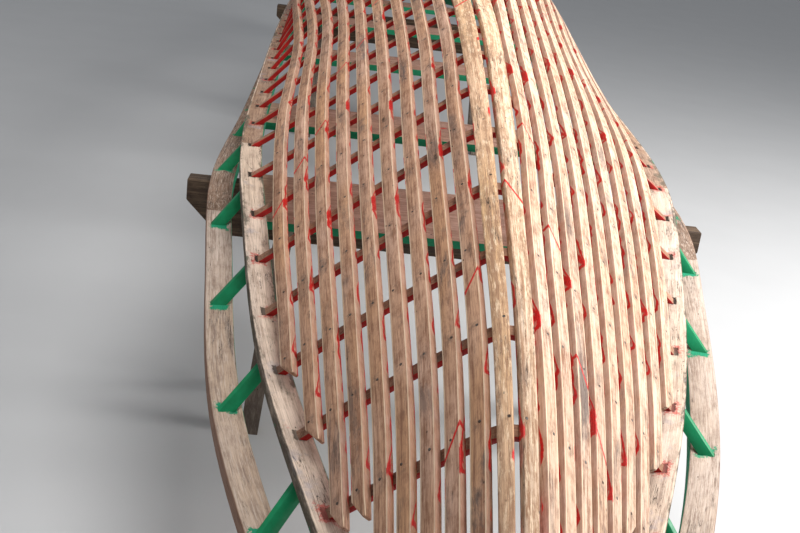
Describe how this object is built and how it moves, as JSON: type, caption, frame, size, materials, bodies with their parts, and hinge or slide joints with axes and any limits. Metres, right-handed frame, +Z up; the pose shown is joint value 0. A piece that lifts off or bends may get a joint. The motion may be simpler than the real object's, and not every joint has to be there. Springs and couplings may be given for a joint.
{
  "type": "upturned skin-boat frame on trestles",
  "caption": "Bare timber frame of a long narrow skin-covered rowing boat, keel up on two trestles: bent ribs, lengthwise laths, double gunwales with struts, thwarts and transom.",
  "frame": {"origin": "centre of the bounding box in plan, on the floor under the trestles' feet", "axes": "Z up from the floor, Y along the boat with the bow towards -Y and the transom at +Y, X across the boat"},
  "size_m": [1.42, 7.432, 1.3087],
  "materials": {
    "lath_wood": "bare sawn softwood with stains",
    "keel_wood": "bare weathered softwood",
    "rib_red": "red oil paint, outer faces bare",
    "gunwale_wood": "bare weathered timber",
    "strut_green": "green oil paint",
    "thwart_wood": "bare sawn board",
    "stem_wood": "bare worn timber",
    "transom_wood": "bare worn board",
    "beam_wood": "rough dark timber",
    "leg_wood": "rough grey timber"
  },
  "bodies": {
    "root": {"lath_left_1": "lath_wood", "lath_left_2": "lath_wood", "lath_left_3": "lath_wood", "lath_left_4": "lath_wood", "lath_left_5": "lath_wood", "lath_left_6": "lath_wood", "lath_left_7": "lath_wood", "lath_left_8": "lath_wood", "lath_left_9": "lath_wood", "lath_right_1": "lath_wood", "lath_right_2": "lath_wood", "lath_right_3": "lath_wood", "lath_right_4": "lath_wood", "lath_right_5": "lath_wood", "lath_right_6": "lath_wood", "lath_right_7": "lath_wood", "lath_right_8": "lath_wood", "lath_right_9": "lath_wood", "keel_board_left": "keel_wood", "keel_board_right": "keel_wood", "ribs_1": "rib_red", "ribs_2": "rib_red", "ribs_3": "rib_red", "ribs_4": "rib_red", "ribs_5": "rib_red", "ribs_6": "rib_red", "lower_gunwale_bow_left": "gunwale_wood", "lower_gunwale_left": "gunwale_wood", "upper_gunwale_bow_left": "gunwale_wood", "upper_gunwale_left": "gunwale_wood", "struts_left": "strut_green", "lower_gunwale_bow_right": "gunwale_wood", "lower_gunwale_right": "gunwale_wood", "upper_gunwale_bow_right": "gunwale_wood", "upper_gunwale_right": "gunwale_wood", "struts_right": "strut_green", "fore_thwart": "thwart_wood", "second_thwart": "thwart_wood", "third_thwart": "thwart_wood", "fourth_thwart": "thwart_wood", "fifth_thwart": "thwart_wood", "stern_seat": "thwart_wood", "stem_block": "stem_wood", "transom": "transom_wood", "bow_trestle_beam": "beam_wood", "bow_trestle_legs": "leg_wood", "stern_trestle_beam": "beam_wood", "stern_trestle_legs": "leg_wood"}
  },
  "joints": []
}
